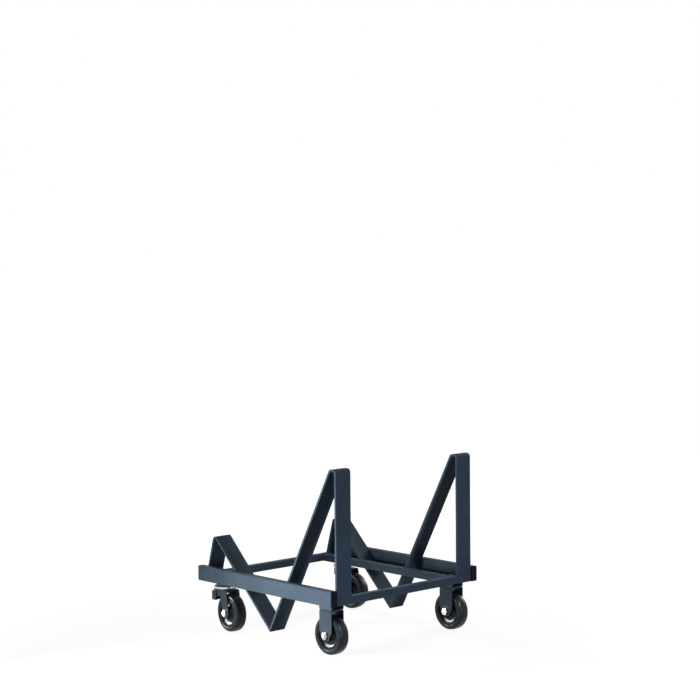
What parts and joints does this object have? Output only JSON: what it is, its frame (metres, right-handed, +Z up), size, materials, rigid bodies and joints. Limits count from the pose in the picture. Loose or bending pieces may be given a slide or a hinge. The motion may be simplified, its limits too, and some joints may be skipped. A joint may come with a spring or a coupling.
{
  "type": "stacking chair trolley",
  "caption": "Low welded steel trolley on casters, braked swivel casters at the rear, with V-shaped flat-bar cradles and tall posts that carry a leaning stack of chairs.",
  "frame": {"origin": "on the floor, below the middle of the frame's length and width", "axes": "+X along the side rails towards the tall posts, +Y to the left side, +Z up"},
  "size_m": [0.53, 0.515, 0.47],
  "materials": {
    "paint": "satin dark blue-grey paint, worn a little at the edges",
    "tyre": "smooth black rubber",
    "wheel_core": "glossy black moulding",
    "plug": "matt black moulding",
    "zinc": "bright zinc plate",
    "steel": "bare turned steel, lightly greased"
  },
  "bodies": {
    "frame": {"side_rail_right": "paint", "side_rail_left": "paint", "end_plugs": "plug", "front_cross_rail": "paint", "rear_cross_rail": "paint", "inner_rail_right": "paint", "inner_rail_left": "paint", "front_bar_right": "paint", "front_bar_left": "paint", "rear_bar_right": "paint", "rear_bar_left": "paint", "caster_plate_front_right": "paint", "caster_plate_front_left": "paint", "caster_plate_rear_right": "paint", "caster_plate_rear_left": "paint", "riser_right": "paint", "riser_left": "paint", "front_fork_right": "paint", "front_fork_left": "paint", "fork_bolt_right": "zinc", "fork_bolt_left": "zinc", "fork_nut_right": "zinc", "fork_nut_left": "zinc", "axle_bolt_front_right": "zinc", "axle_bolt_front_left": "zinc", "axle_nut_front_right": "zinc", "axle_nut_front_left": "zinc", "sleeve_front_right": "steel", "sleeve_front_left": "steel", "swivel_race_right": "paint", "swivel_race_left": "paint", "dust_cap_right": "zinc", "dust_cap_left": "zinc", "kingpin_right": "steel", "kingpin_left": "steel", "kingpin_nut_right": "zinc", "kingpin_nut_left": "zinc"},
    "wheel_front_right": {"tyre_front_right": "tyre", "core_front_right": "wheel_core"},
    "swivel_right": {"swivel_fork_right": "paint", "ball_ring_right": "steel", "axle_bolt_rear_right": "zinc", "axle_nut_rear_right": "zinc", "sleeve_rear_right": "steel", "brake_pin_right": "zinc"},
    "wheel_rear_right": {"tyre_rear_right": "tyre", "core_rear_right": "wheel_core"},
    "brake_right": {"brake_lever_right": "paint"},
    "wheel_front_left": {"tyre_front_left": "tyre", "core_front_left": "wheel_core"},
    "swivel_left": {"swivel_fork_left": "paint", "ball_ring_left": "steel", "axle_bolt_rear_left": "zinc", "axle_nut_rear_left": "zinc", "sleeve_rear_left": "steel", "brake_pin_left": "zinc"},
    "wheel_rear_left": {"tyre_rear_left": "tyre", "core_rear_left": "wheel_core"},
    "brake_left": {"brake_lever_left": "paint"}
  },
  "joints": [
    {"name": "front_wheel_right_spin", "type": "hinge", "parent": "frame", "child": "wheel_front_right", "pos_m": [0.214, -0.2125, 0.05], "axis": [0, 1, 0], "continuous": true},
    {"name": "caster_right_swivel", "type": "hinge", "parent": "frame", "child": "swivel_right", "pos_m": [-0.208, -0.2125, 0.1], "axis": [0, 0, 1], "continuous": true},
    {"name": "rear_wheel_right_spin", "type": "hinge", "parent": "swivel_right", "child": "wheel_rear_right", "pos_m": [-0.17618, -0.21584, 0.05], "axis": [0.1045, 0.9945, 0], "continuous": true},
    {"name": "brake_right_lever", "type": "hinge", "parent": "swivel_right", "child": "brake_right", "pos_m": [-0.22681, -0.23365, 0.098], "axis": [-0.1045, -0.9945, 0], "range_deg": [0, 11]},
    {"name": "front_wheel_left_spin", "type": "hinge", "parent": "frame", "child": "wheel_front_left", "pos_m": [0.214, 0.2125, 0.05], "axis": [0, 1, 0], "continuous": true},
    {"name": "caster_left_swivel", "type": "hinge", "parent": "frame", "child": "swivel_left", "pos_m": [-0.208, 0.2125, 0.1], "axis": [0, 0, 1], "continuous": true},
    {"name": "rear_wheel_left_spin", "type": "hinge", "parent": "swivel_left", "child": "wheel_rear_left", "pos_m": [-0.17618, 0.21584, 0.05], "axis": [-0.1045, 0.9945, 0], "continuous": true},
    {"name": "brake_left_lever", "type": "hinge", "parent": "swivel_left", "child": "brake_left", "pos_m": [-0.22681, 0.23365, 0.098], "axis": [0.1045, -0.9945, 0], "range_deg": [0, 11]}
  ]
}
